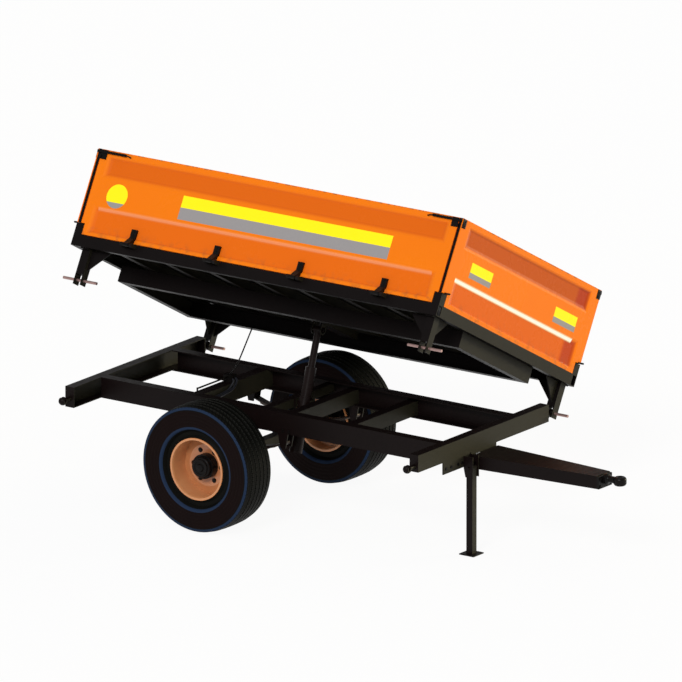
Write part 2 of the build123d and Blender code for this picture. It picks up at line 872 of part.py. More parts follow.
# Corner legs: square tubes forked at the foot to stand over the pin seats
leg_places = [
    (x, y, ahead, outward)
    for x, ahead in ((rear_beam_x, -1), (front_beam_x, 1))
    for y, outward in ((0, 1), (2 * bed_middle_y, -1))
]
half_leg = leg_size / 2
fork = leg_size - 2 * leg_wall
with BuildPart() as corner_legs:
    for x, y, ahead, outward in leg_places:
        with BuildSketch(bed.offset(-leg_below)):
            with Locations((x, y)):
                Rectangle(leg_size, leg_size)
                Rectangle(fork, fork, mode=Mode.SUBTRACT)
        extrude(amount=leg_below + leg_height)
        with BuildSketch(bed.offset(leg_mouth)):
            with Locations((x, y)):
                Rectangle(leg_size, leg_size)
        extrude(amount=leg_wall)
        with BuildSketch(bed.offset(-leg_below)):
            with Locations((x, y)):
                Rectangle(fork, leg_size)
        extrude(amount=leg_below + leg_mouth, mode=Mode.SUBTRACT)
        with BuildSketch(bed_across(x - half_leg)):
            with Locations((y, 0)):
                Circle(pin_radius + fit)
        extrude(amount=leg_size, mode=Mode.SUBTRACT)
        # Head plate that reaches under the frame's side member
        head_edges = (y - outward * half_leg, y + outward * leg_head_reach)
        with BuildSketch(bed.offset(leg_height - leg_head_wall)):
            box_face(x - half_leg, x + half_leg, min(head_edges), max(head_edges))
        extrude(amount=leg_head_wall)
        edge = y - outward * half_leg
        with BuildSketch(bed_across(x - gusset_wall / 2)):
            face_of((edge, leg_height), (edge - outward * gusset, leg_height), (edge, leg_height - gusset))
        extrude(amount=gusset_wall)
        edge = x - ahead * half_leg
        with BuildSketch(bed_beside(y + gusset_wall / 2)):
            face_of((edge, leg_height), (edge - ahead * gusset, leg_height), (edge, leg_height - gusset))
        extrude(amount=gusset_wall)
keep(corner_legs, "corner_legs")

with BuildPart() as locking_pins:
    for x, y, ahead, outward in leg_places:
        with BuildSketch(bed_across(x - pin_length / 2)):
            with Locations((y, 0)):
                Circle(pin_radius)
        extrude(amount=pin_length)
keep(locking_pins, "locking_pins")

# Panels: fixed headboard, two drop sides and the tailgate, with notches for the posts
flap_rear = bed_rear_x + side_wall + side_gap
flap_front = bed_front_x - side_wall - side_gap
side_notch = post_size - side_wall
end_notch = post_size + side_gap
notch_top = frame_top + post_height + side_gap
panel_table = (
    # name, outer face, way in, start, end, foot, plain end, notch
    ("side_right", bed_beside(bed_near_y), -1, flap_rear, flap_front, side_bottom, side_plain, side_notch),
    ("side_left", bed_beside(bed_far_y), 1, flap_rear, flap_front, side_bottom, side_plain, side_notch),
    ("headboard", bed_across(bed_front_x), -1, bed_near_y, bed_far_y, frame_top, headboard_plain, end_notch),
    ("tailgate", bed_across(bed_rear_x), 1, bed_near_y, bed_far_y, side_bottom, tailgate_plain, end_notch),
)
for name, skin, inward, start, end, foot, plain, notch in panel_table:
    with BuildPart() as panel:
        with BuildSketch(skin):
            box_face(start, end, foot, side_top)
        extrude(amount=inward * side_wall)
        for low, low_in, high_in, high in recess_table:
            with BuildSketch(skin):
                box_face(start + plain, end - plain, side_bottom + low, side_bottom + high)
            with BuildSketch(skin.offset(inward * recess_deep)):
                box_face(
                    start + plain + recess_slope,
                    end - plain - recess_slope,
                    side_bottom + low_in,
                    side_bottom + high_in,
                )
            loft(ruled=True, mode=Mode.SUBTRACT)
        with BuildSketch(skin):
            box_face(start, start + notch, foot, notch_top)
            box_face(end - notch, end, foot, notch_top)
        extrude(amount=inward * side_wall, mode=Mode.SUBTRACT)
    keep(panel, name)

# Straps: from the hinge pin to the panel's foot, and up into the lower hollow
lip_high, hollow_low, _, _ = recess_table[0]


def strap_face(pin, skin, outward):
    """Section of a strap; pin and skin are places across the panel, outward is its outer side."""
    deep = skin - outward * recess_deep
    face_of(
        (pin - outward * strap_root_in, hinge_z + strap_root_low),
        (pin + outward * strap_root_low, hinge_z + strap_root_high),
        (skin + outward * strap_wall, side_bottom + strap_bend),
        (skin + outward * strap_wall, side_bottom + strap_top),
        (deep, side_bottom + strap_top),
        (deep, side_bottom + hollow_low),
        (skin, side_bottom + lip_high),
        (skin, side_bottom + strap_heel),
    )
    with Locations((pin, hinge_z)):
        Circle(hinge_pin + strap_eye_wall)
        Circle(hinge_pin + fit, mode=Mode.SUBTRACT)


for side, outward, edge in (("right", -1, bed_near_y), ("left", 1, bed_far_y)):
    with BuildPart() as straps:
        for x in strap_places:
            with BuildSketch(bed_across(x - strap_width / 2)):
                strap_face(edge + outward * hinge_out, edge + outward * fit, outward)
            extrude(amount=strap_width)
    keep(straps, f"straps_{side}")

with BuildPart() as straps:
    for y in tail_places:
        with BuildSketch(bed_beside(y + strap_width / 2)):
            strap_face(tail_pin_x, bed_rear_x - fit, -1)
        extrude(amount=strap_width)
keep(straps, "straps_rear")

# Latches: a block on the skin at each upper corner, and a lever that lies along it
for side, outward, edge in (("right", -1, bed_near_y), ("left", 1, bed_far_y)):
    block_skin = edge + outward * fit
    lever_skin = edge + outward * latch_block_wall
    lever_face = lever_skin + outward * lever_wall
    with BuildPart() as latches:
        for x, ahead in ((flap_rear, -1), (flap_front, 1)):
            inner_x = x - ahead * latch_long
            with BuildSketch(bed_beside(max(block_skin, lever_skin))):
                box_face(
                    min(x, inner_x),
                    max(x, inner_x),
                    side_top - latch_below_top - latch_tall,
                    side_top - latch_below_top,
                )
            extrude(amount=latch_block_wall - fit)
            lever_ends = (x + ahead * lever_past, x - ahead * lever_reach)
            with BuildSketch(bed_beside(max(lever_skin, lever_face))):
                box_face(
                    min(lever_ends),
                    max(lever_ends),
                    side_top - lever_below_top - lever_tall,
                    side_top - lever_below_top,
                )
            extrude(amount=lever_wall)
    keep(latches, f"latches_{side}")

# Telescopic ram between its trunnion and the ears on the bridge
ram_foot = Vector(along(ram_x), 0, up(ram_pivot_z))
ram_head = bed.from_local_coords(Vector(ram_x, bed_middle_y, ram_top_z))
ram_up = (ram_head - ram_foot).normalized()
ram = Plane(origin=ram_foot, x_dir=(1, 0, 0), z_dir=ram_up)
ram_reach = (ram_head - ram_foot).length
print("ram length now", round(ram_reach, 2))

with BuildPart() as ram_barrel:
    with BuildSketch(ram.offset(-barrel_below)):
        Circle(barrel_radius)
    extrude(amount=barrel_below + barrel_above)
    with BuildSketch(Plane.YZ.offset(rear_block_x)):
        with Locations((0, up(ram_pivot_z))):
            Circle(trunnion_radius)
    extrude(amount=front_block_x + bearing_wall - rear_block_x)
    with BuildSketch(ram.offset(-barrel_below + barrel_wall)):
        Circle(stage_radius + ram_clear)
    extrude(amount=barrel_below + barrel_above, mode=Mode.SUBTRACT)
keep(ram_barrel, "ram_barrel")

with BuildPart() as ram_stage:
    with BuildSketch(ram.offset(stage_top - stage_length)):
        Circle(stage_radius)
        Circle(rod_radius + ram_clear, mode=Mode.SUBTRACT)
    extrude(amount=stage_length)
keep(ram_stage, "ram_stage")

rod_head_half = ram_ear_gap - ram_head_gap
rod_pin_half = ram_ear_gap + ram_ear_wall + ram_pin_end
with BuildPart() as ram_rod:
    with BuildSketch(ram.offset(ram_reach - rod_length)):
        Circle(rod_radius)
    extrude(amount=rod_length)
    with BuildSketch(Plane.YZ.offset(along(ram_x) - rod_head_half)):
        with Locations((ram_head.Y, ram_head.Z)):
            Circle(rod_radius)
    extrude(amount=2 * rod_head_half)
    with BuildSketch(Plane.YZ.offset(along(ram_x) - rod_pin_half)):
        with Locations((ram_head.Y, ram_head.Z)):
            Circle(ram_pin)
    extrude(amount=2 * rod_pin_half)
keep(ram_rod, "ram_rod")
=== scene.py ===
import math

import bmesh
import bpy
from mathutils import Matrix, Vector


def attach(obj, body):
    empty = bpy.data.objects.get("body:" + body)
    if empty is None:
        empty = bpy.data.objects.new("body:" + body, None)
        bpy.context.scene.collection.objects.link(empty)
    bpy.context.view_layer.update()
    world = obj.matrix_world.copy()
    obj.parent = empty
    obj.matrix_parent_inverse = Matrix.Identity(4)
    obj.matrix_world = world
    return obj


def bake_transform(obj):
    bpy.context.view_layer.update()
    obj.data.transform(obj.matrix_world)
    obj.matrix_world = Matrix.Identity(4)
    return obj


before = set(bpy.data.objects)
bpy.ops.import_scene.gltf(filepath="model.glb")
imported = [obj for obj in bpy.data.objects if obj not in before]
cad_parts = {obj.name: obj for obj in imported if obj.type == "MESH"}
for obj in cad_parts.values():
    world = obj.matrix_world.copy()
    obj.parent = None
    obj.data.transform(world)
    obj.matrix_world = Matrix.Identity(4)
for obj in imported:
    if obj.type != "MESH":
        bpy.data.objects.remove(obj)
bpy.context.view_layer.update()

# Camera: stands off the trailer's front right corner and looks down a little.
# It is far off with a long lens, so the trailer keeps its true proportions.
camera_azimuth = math.radians(35.5)
camera_elevation = math.radians(15.9)
camera_distance = 200
camera_target = Vector((-2.360, 0.062, 0.580))
camera_look = Vector((
    -math.sin(camera_azimuth) * math.cos(camera_elevation),
    math.cos(camera_azimuth) * math.cos(camera_elevation),
    -math.sin(camera_elevation),
))
camera_data = bpy.data.cameras.new("camera")
camera_data.lens = 1553
camera_data.sensor_width = 36
camera_data.clip_end = 600
camera = bpy.data.objects.new("camera", camera_data)
camera.location = camera_target - camera_look * camera_distance
camera.rotation_euler = camera_look.to_track_quat("-Z", "Y").to_euler()
bpy.context.collection.objects.link(camera)
bpy.context.scene.camera = camera
bpy.context.scene.view_settings.view_transform = "Standard"


# Studio: a pale floor and a white surround, with one broad lamp from the near side
# and a low warm one from the front left corner, which the black steel mirrors.
# The floor is a painted sheet that keeps the trailer's shadow.
class Wire:
    """A node's socket that adds Math nodes where it stands in an expression."""

    def __init__(self, plan, socket):
        self.plan = plan
        self.socket = socket

    def maths(self, operation, *values):
        return self.plan.node("ShaderNodeMath", {"operation": operation}, values)

    def __add__(self, other):
        return self.maths("ADD", self, other)

    def __sub__(self, other):
        return self.maths("SUBTRACT", self, other)

    def __rsub__(self, other):
        return self.maths("SUBTRACT", other, self)

    def __mul__(self, other):
        return self.maths("MULTIPLY", self, other)

    def __gt__(self, other):
        return self.maths("GREATER_THAN", self, other)

    def __lt__(self, other):
        return self.maths("LESS_THAN", self, other)

    __radd__ = __add__
    __rmul__ = __mul__

    def size(self):
        return self.maths("ABSOLUTE", self)

    def root(self):
        return self.maths("SQRT", self)

    def fold(self, half):
        """A saw that rises from 0 to half and falls back, over and over."""
        return self.maths("PINGPONG", self, half)

    def between(self, low, high):
        return (self > low) * (self < high)

    def rise(self, low, high):
        """0 below low, 1 above high, and a smooth step from one to the other."""
        return self.plan.node(
            "ShaderNodeMapRange",
            {"interpolation_type": "SMOOTHSTEP"},
            {"Value": self, "From Min": low, "From Max": high},
        )


class Plan:
    """A tree of nodes that one method adds."""

    def __init__(self, tree):
        self.tree = tree

    def node(self, kind, settings=None, values=(), out=0):
        """Add a node, with its settings first and then its sockets' values or wires."""
        node = self.tree.nodes.new(kind)
        for name, value in (settings or {}).items():
            setattr(node, name, value)
        for key, value in values.items() if isinstance(values, dict) else enumerate(values):
            if isinstance(value, Wire):
                self.tree.links.new(value.socket, node.inputs[key])
            else:
                node.inputs[key].default_value = value
        return Wire(self, node.outputs[out])

    def ray(self, kind):
        """1 for a ray of this kind, and 0 for any other."""
        return self.node("ShaderNodeLightPath", out=f"Is {kind} Ray")

    def surface(self, wire, output):
        """Send a shader to the tree's output."""
        self.tree.links.new(wire.socket, self.tree.nodes[output].inputs["Surface"])


class Finish(Plan):
    """A material on Object coordinates, with the shader's constants given by socket."""

    def __init__(self, name, **constants):
        self.material = bpy.data.materials.new(name)
        self.material.use_nodes = True
        super().__init__(self.material.node_tree)
        self.shader = self.tree.nodes["Principled BSDF"]
        for socket, value in constants.items():
            self.shader.inputs[socket.replace("_", " ")].default_value = value
        self.place = self.node("ShaderNodeTexCoord", out="Object")

    def dot(self, first, second):
        return self.node(
            "ShaderNodeVectorMath", {"operation": "DOT_PRODUCT"}, (first, second), out="Value"
        )

    def along(self, direction, origin=(0, 0, 0)):
        """Distance along a direction from an origin."""
        return self.dot(self.place, direction) - Vector(direction).dot(Vector(origin))

    def noise(self, scale, detail=3.0, stretch=(1, 1, 1)):
        spread = self.node("ShaderNodeMapping", {}, {"Vector": self.place, "Scale": stretch})
        return self.node(
            "ShaderNodeTexNoise", {}, {"Vector": spread, "Scale": scale, "Detail": detail}
        )

    def mix(self, mask, first, second):
        colours = {0: mask, 6: first, 7: second}
        return self.node("ShaderNodeMix", {"data_type": "RGBA"}, colours, out=2)

    def bump(self, height, distance, strength=1.0):
        relief = {"Height": height, "Distance": distance, "Strength": strength}
        return self.node("ShaderNodeBump", {}, relief)

    def put(self, **wires):
        for socket, wire in wires.items():
            self.tree.links.new(wire.socket, self.shader.inputs[socket.replace("_", " ")])
        return self.material


def shade(red, green, blue):
    """Linear colour of a paint given as 0 to 255 steps."""
    steps = [c / 255 for c in (red, green, blue)]
    return tuple(c / 12.92 if c <= 0.04045 else ((c + 0.055) / 1.055) ** 2.4 for c in steps) + (1,)


white = (1, 1, 1, 1)
ground = -0.650
floor_half = 60
floor_glow = 0.93
sky_strength = 0.5

floor_mesh = bpy.data.meshes.new("floor")
corners = ((-1, -1), (1, -1), (1, 1), (-1, 1))
floor_mesh.from_pydata(
    [(x * floor_half, y * floor_half, ground) for x, y in corners], [], [(0, 1, 2, 3)]
)
floor_paint = Finish("floor_sheet", Roughness=0.9, Specular_IOR_Level=0.0)
dapple = floor_paint.noise(3.0)
floor_paint.put(Base_Color=floor_paint.mix(dapple, shade(238, 238, 238), shade(242, 242, 242)))
lit = Wire(floor_paint, floor_paint.shader.outputs[0])
glow = floor_paint.node("ShaderNodeEmission", {}, {"Color": white})
shown = floor_paint.ray("Camera") + floor_paint.ray("Glossy") + floor_paint.ray("Transmission")
floor_paint.surface(
    floor_paint.node("ShaderNodeMixShader", {}, (shown * floor_glow, lit, glow)), "Material Output"
)
floor_mesh.materials.append(floor_paint.material)
floor = bpy.data.objects.new("floor", floor_mesh)
bpy.context.collection.objects.link(floor)

surround = bpy.data.worlds.new("surround")
surround.use_nodes = True
sky = Plan(surround.node_tree)
open_sky = sky.tree.nodes["Background"]
open_sky.inputs["Color"].default_value = white
open_sky.inputs["Strength"].default_value = sky_strength
white_sky = sky.node("ShaderNodeBackground", {}, {"Color": white})
shown = sky.ray("Camera") + sky.ray("Transmission")
sky.surface(
    sky.node("ShaderNodeMixShader", {}, (shown, Wire(sky, open_sky.outputs[0]), white_sky)),
    "World Output",
)
bpy.context.scene.world = surround

lamps = (
    # name, strength, spread in degrees, tint, way that it shines
    ("broad_lamp", 1.75, 18, (1.0, 1.0, 1.0), (-0.24, 0.78, -0.56)),
    ("front_lamp", 2.2, 24, (1.0, 0.90, 0.58), (-0.56, -0.80, -0.16)),
)
for name, strength, spread, tint, way in lamps:
    lamp_data = bpy.data.lights.new(name, "SUN")
    lamp_data.energy = strength
    lamp_data.angle = math.radians(spread)
    lamp_data.color = tint
    lamp = bpy.data.objects.new(name, lamp_data)
    lamp.rotation_euler = Vector(way).to_track_quat("-Z", "Y").to_euler()
    bpy.context.collection.objects.link(lamp)

# Tyres: black rubber with five grooves round the tread and a flat ring on each sidewall.
# The ribs are cut across by fine slits, darkened as painted shade, and the crown has painted
# highlight dots; the wall carries moulded circles and blue lines of painted reflection.
axle_x = -2.910
tyre_outside = 0.446
axle_place = Vector((axle_x, 0, tyre_outside + ground))
wheel_middle = 0.735
tread_from = 0.430
tread_crown = 0.4385
groove_pitch = 0.044
slit_count = 96
slit_slant = 22
rings_per_metre = 40
wall_inner, wall_outer = 0.300, 0.412
wall_out = 0.138
blue_out = 0.1
# Radii of the rings of painted blue reflection on each sidewall.
blue_reflection_rings = ((0.417, 0.435), (0.278, 0.299))


def coat(material, *nodes):
    """Give CAD nodes a finish."""
    for node in nodes:
        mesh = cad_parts[node].data
        mesh.materials.clear()
        mesh.materials.append(material)


def about_axle(finish):
    """How far a point is ahead of the axle, above it, and out from it."""
    ahead = finish.along((1, 0, 0), axle_place)
    above = finish.along((0, 0, 1), axle_place)
    return ahead, above, (ahead * ahead + above * above).root()


rubber = Finish("tyre_rubber_black", Roughness=0.55, Specular_IOR_Level=0.04)
ahead, above, radius = about_axle(rubber)
off_middle = rubber.along((0, 1, 0)).size() - wheel_middle
turn = above.maths("ARCTAN2", above, ahead)
slit_saw = (turn * (slit_count / math.tau) + off_middle.size() * slit_slant).fold(0.5)
slit = (1 - slit_saw.rise(0.03, 0.10)) * (radius > tread_from)
rib_saw = off_middle.fold(groove_pitch / 2)
# Painted highlight: pale dots on the rib edges round the crown, as light caught in the slits.
slit_highlight = rib_saw.between(0.006, 0.011) * slit_saw.between(0.20, 0.42) * (radius > tread_crown)
on_wall = radius.between(wall_inner, wall_outer) * (off_middle.size() > wall_out)
ring_relief = (radius * rings_per_metre).fold(0.5).rise(0.20, 0.30) * on_wall
grain = rubber.noise(420.0, 4.0)
dust = rubber.noise(9.0, 4.0)
# Painted reflection: thin blue rings on the wall's outer shoulder and round its moat.
outer_line, inner_line = [radius.between(*line) for line in blue_reflection_rings]
blue_reflection = (outer_line + inner_line) * 0.8 * (off_middle.size() > blue_out)
wall_tone = rubber.mix(dust, shade(13, 6, 6), shade(22, 12, 11))
tread_tone = rubber.mix(dust, shade(8, 8, 7), shade(18, 18, 15))
tone = rubber.mix(on_wall, tread_tone, wall_tone)
tone = rubber.mix(blue_reflection, tone, shade(34, 49, 74))
tone = rubber.mix(ring_relief * 0.25, tone, shade(22, 14, 14))
# Painted shade: each slit is darkened near black, as shade inside the cut.
tone = rubber.mix(slit, tone, shade(4, 4, 4))
tone = rubber.mix(slit_highlight * 0.3, tone, shade(74, 74, 70))
relief = ring_relief * 0.6 - slit + grain * 0.15
coat(
    rubber.put(
        Base_Color=tone,
        Roughness=dust * 0.2 + 0.45,
        Normal=rubber.bump(relief, 0.002, 0.7),
    ),
    "tyre_right", "tyre_left",
)

# Rims: pressed steel in a warm salmon primer, dished deep, with six bolt holes.
# The paint is satin, with painted shade darkening it down in the well.
well_inner, well_outer = 0.095, 0.205
lip_radius = 0.212
salmon = Finish("rim_salmon_paint", Roughness=0.32, Coat_Weight=0.3, Coat_Roughness=0.15)
ahead, above, radius = about_axle(salmon)
road_dust = salmon.noise(14.0, 5.0)
brushed = salmon.noise(160.0, 2.0)
# Painted shade: the paint darkens towards the hub, down in the well.
well = 1 - radius.rise(well_inner, well_outer)
tone = salmon.mix(road_dust, shade(208, 146, 98), shade(182, 118, 72))
tone = salmon.mix(well * 0.5, tone, shade(158, 88, 56))
tone = salmon.mix((radius > lip_radius) * 0.6, tone, shade(206, 128, 72))
coat(
    salmon.put(
        Base_Color=tone,
        Roughness=road_dust * 0.22 + 0.24,
        Normal=salmon.bump(brushed, 0.0006, 0.5),
    ),
    "rim_right", "rim_left",
)

# Black parts: chassis, hubs, ram, frame of the box and its fittings are steel in black paint.
# The paint is brushed gloss over rolled steel, with brown specks, and with a painted olive
# reflection on the faces that look forward.


def black_paint(name, low, high, gloss, scale=11.0, reflection_strength=0.0):
    """Gloss paint that drifts between two near blacks; reflection_strength is how olive its painted
    front reflection gets.
    """
    paint = Finish(name, Roughness=gloss, Specular_IOR_Level=0.10)
    drift = paint.noise(scale * 0.3, 4.0)
    rolled = paint.noise(scale * 3.0, 5.0, (1, 0.4, 1.6))
    speck = paint.noise(130.0, 3.0)
    facing = paint.dot(paint.node("ShaderNodeTexCoord", out="Normal"), (1, 0, 0))
    # Painted reflection: the faces that look forward are tinted olive.
    olive = facing.rise(0.80, 0.96) * (drift * 0.3 + 0.5) * reflection_strength
    tone = paint.mix(drift, low, high)
    tone = paint.mix(speck.rise(0.68, 0.76) * 0.25, tone, shade(48, 36, 30))
    tone = paint.mix(olive, tone, shade(50, 48, 36))
    return paint.put(
        Base_Color=tone,
        Roughness=rolled * 0.24 + (gloss - 0.12),
        Normal=paint.bump(rolled + speck * 0.4, 0.0012, 0.4),
    )


coat(
    black_paint("chassis_black_gloss", shade(11, 6, 6), shade(19, 10, 9), 0.48, reflection_strength=1.0),
    "rail_right", "rail_left", "rear_crossbeam", "front_crossbeam", "crossmembers",
    "drawbar_right", "drawbar_left", "drawbar_plate", "stand_bracket", "axle_beam",
    "pin_seats", "parking_stand",
)
coat(
    black_paint("box_black_gloss", shade(8, 5, 5), shade(15, 8, 8), 0.46, reflection_strength=0.8),
    "frame_right", "frame_left", "frame_front", "frame_rear", "floor_members",
    "subframe_beams", "subframe_ends", "ram_bridge", "corner_legs", "corner_posts",
)
fitting_black = black_paint("fitting_black", shade(10, 9, 9), shade(20, 17, 16), 0.30, 26.0)
coat(
    fitting_black, "hub_right", "hub_left", "tow_eye", "control_valve", "latches_right",
    "latches_left", "straps_right", "straps_left", "straps_rear",
)
coat(
    black_paint("ram_black", shade(17, 10, 9), shade(28, 18, 17), 0.30, 18.0),
    "ram_barrel", "ram_stage", "ram_rod",
)

# Springs: bare spring steel, dark from the furnace, with rust starting between the leaves.
# Each pack of five leaves hangs by an eye at each end.
spring_steel = Finish("spring_steel_dark", Metallic=0.6, Roughness=0.5)
bloom = spring_steel.noise(18.0, 5.0)
scale_marks = spring_steel.noise(90.0, 3.0)
tone = spring_steel.mix(bloom, shade(40, 36, 35), shade(62, 50, 44))
tone = spring_steel.mix(scale_marks.rise(0.60, 0.72) * 0.6, tone, shade(96, 58, 38))
coat(
    spring_steel.put(
        Base_Color=tone,
        Roughness=bloom * 0.3 + 0.35,
        Normal=spring_steel.bump(scale_marks, 0.001, 0.5),
    ),
    "leaf_springs",
)

# Locking pins: turned round bar with a dull zinc plate that has gone pinkish.
# One is pushed through each leg's fork and lies in the slot of the seat below.
zinc = Finish("pin_zinc", Metallic=0.75, Roughness=0.38)
haze = zinc.noise(40.0, 4.0)
turned = zinc.noise(8.0, 2.0, (90, 1, 1))
coat(
    zinc.put(
        Base_Color=zinc.mix(haze, shade(150, 116, 112), shade(186, 156, 150)),
        Roughness=haze * 0.25 + 0.28,
        Normal=zinc.bump(turned, 0.0004, 0.4),
    ),
    "locking_pins",
)

# Panels: pressed steel in orange gloss, with painted shade darkening the two hollows
# and a painted highlight line along the low hollow's upper border.
# Yellow and grey stripes are stuck on the band of the sides and the headboard.
# Places on the box are ahead of the axle, left of the far pins and above them, as it tips.
tip = math.radians(28.5)
box_pivot = Vector((axle_x, 0.845, 0.087))
box_left = Vector((0, math.cos(tip), -math.sin(tip)))
box_up = Vector((0, math.sin(tip), math.cos(tip)))
near_skin, far_skin = -1.770, 0.080
rear_skin, front_skin = -1.235, 1.813
skin_middle = (near_skin + far_skin) / 2
skin_half = (far_skin - near_skin) / 2
side_foot = 0.303
foot_dirt = 0.10
top_rub = (0.896, 0.906)
panel_wall = 0.016
sticker_film = 0.0012
band_height = 0.6
lip_height = 0.498
end_paint = 0.0015
far_shadow_span = (-0.20, -0.15)
orange = shade(243, 128, 12)
yellow = shade(255, 238, 28)
grey = shade(150, 146, 146)


def panel_paint(
    name, way_in, skin_place, stripes, badge=None, glint=(0, 0, 0), hollow_shading=(0.0, 0.2)
):
    """Orange gloss on a pressed panel.

    stripes are rows of low, high, start, end and colour. badge is its place along the panel,
    its height, its radius, and the height over its middle below which it is grey. glint is the
    start, end and strength of the painted highlight line on the low hollow's upper border.
    hollow_shading is how much painted shade darkens the low and the high hollow.
    """
    paint = Finish(
        name, Roughness=0.28, Specular_IOR_Level=0.08, Coat_Weight=0.05, Coat_Roughness=0.08
    )
    across = paint.along(box_left, box_pivot)
    height = paint.along(box_up, box_pivot)
    depth = paint.along(way_in, skin_place)
    is_end = abs(way_in[0]) > 0.5
    run = across if is_end else paint.along((1, 0, 0), (axle_x, 0, 0))
    sweep = paint.noise(1.4, 3.0)
    peel = paint.noise(240.0, 2.0)
    mud = paint.noise(22.0, 6.0)
    low_hollow_shade, high_hollow_shade = hollow_shading
    # Painted shade: hollows are darker than the face, more so by hollow_shading, and a painted
    # shadow reddens their far ends.
    hollow = depth.rise(0.002, 0.010) * (depth < panel_wall)
    tone = paint.mix(sweep, orange, shade(237, 115, 18))
    tone = paint.mix(hollow * 0.75, tone, shade(222, 98, 16))
    tone = paint.mix(hollow * (height > band_height) * high_hollow_shade, tone, shade(184, 80, 14))
    tone = paint.mix(hollow * (height < band_height) * low_hollow_shade, tone, shade(214, 94, 14))
    far_end_shadow = hollow * run.rise(*far_shadow_span)
    tone = paint.mix(far_end_shadow * low_hollow_shade * 1.4, tone, shade(168, 44, 18))
    if is_end:
        bare_end = ((run - skin_middle).size() > skin_half - end_paint) * (depth > 0.008)
        tone = paint.mix(bare_end, tone, shade(14, 9, 8))
    start, end, strength = glint
    # Painted highlight: a pale line, whitest at its core, along the low hollow's upper border.
    off_lip = (height - lip_height).size()
    line = (1 - off_lip.rise(0.008, 0.022)) * depth.between(0.0005, 0.0115)
    line = line * run.between(start, end) * strength
    tone = paint.mix(line, tone, shade(255, 240, 196))
    tone = paint.mix((off_lip < 0.009) * line, tone, shade(255, 254, 246))
    foot = 1 - height.rise(side_foot, side_foot + foot_dirt)
    tone = paint.mix(foot * mud.rise(0.45, 0.7) * 0.45, tone, shade(150, 84, 46))
    rub = height.rise(*top_rub) * mud.rise(0.50, 0.58)
    tone = paint.mix(rub * 0.6, tone, shade(120, 70, 50))
    film = depth < sticker_film
    for low, high, start, end, colour in stripes:
        stripe = height.between(low, high) * run.between(start, end) * film
        tone = paint.mix(stripe, tone, colour)
    if badge:
        badge_along, badge_height, badge_radius, grey_below = badge
        off_x = run - badge_along
        off_z = height - badge_height
        disc = ((off_x * off_x + off_z * off_z).root() < badge_radius) * film
        tone = paint.mix(disc, tone, yellow)
        tone = paint.mix(disc * (off_z < grey_below), tone, grey)
    return paint.put(
        Base_Color=tone,
        Roughness=sweep * 0.14 + 0.20 + mud.rise(0.5, 0.8) * 0.15,
        Normal=paint.bump(peel + mud * 0.5, 0.0005, 0.35),
    )


def stripe_pair(low, middle, high, start, end):
    """A grey stripe with a yellow one on top of it."""
    return (low, middle, start, end, grey), (middle, high, start, end, yellow)


sides = dict(
    stripes=stripe_pair(0.530, 0.6135, 0.698, -0.447, 1.300),
    badge=(-0.977, 0.604, 0.085, -0.045),
    glint=(-1.10, 1.68, 0.07),
)
near_place = box_pivot + box_left * near_skin
far_place = box_pivot + box_left * far_skin
coat(panel_paint("side_right_orange", box_left, near_place, **sides), "side_right")
coat(panel_paint("side_left_orange", -box_left, far_place, **sides), "side_left")
front_stripes = (
    stripe_pair(0.556, 0.594, 0.662, -1.52, -1.24) + stripe_pair(0.556, 0.594, 0.662, -0.40, -0.11)
)
coat(
    panel_paint(
        "headboard_orange", (-1, 0, 0), (axle_x + front_skin, 0, 0), front_stripes,
        glint=(-1.71, -0.10, 0.95), hollow_shading=(0.5, 0.85),
    ),
    "headboard",
)
coat(panel_paint("tailgate_orange", (1, 0, 0), (axle_x + rear_skin, 0, 0), ()), "tailgate")

# Floor of the box: sheet steel in the same orange, scraped along its length by loads.
# Its underside is coloured black like the frame, as painted shade under the box.
floor_underside = 0.2995
deck = Finish("deck_orange", Roughness=0.45)
scrape = deck.noise(5.0, 6.0, (0.25, 6, 6))
grit = deck.noise(60.0, 5.0)
worn = scrape.rise(0.58, 0.70)
tone = deck.mix(grit, shade(224, 108, 30), shade(202, 92, 28))
tone = deck.mix(worn * 0.5, tone, shade(132, 112, 98))
# Painted shade: below the floor's underside height the deck is near black.
tone = deck.mix(deck.along(box_up, box_pivot) < floor_underside, tone, shade(10, 7, 7))
coat(
    deck.put(
        Base_Color=tone,
        Roughness=grit * 0.3 + 0.35,
        Metallic=worn * 0.5,
        Normal=deck.bump(grit - worn, 0.001, 0.5),
    ),
    "bed_floor",
)

# Wheel nuts: six black hexagon nuts hold each rim to its hub.
# Each sits on its stud's washer, against the rim's disc.
stud_circle = 0.115
stud_count = 6
stud_in = 0.004


def put_piece(name, mesh, material, body):
    """Link a finished mesh as a piece that rides on a body."""
    mesh.materials.clear()
    mesh.materials.append(material)
    piece = bpy.data.objects.new(name, mesh)
    bpy.context.collection.objects.link(piece)
    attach(piece, body)


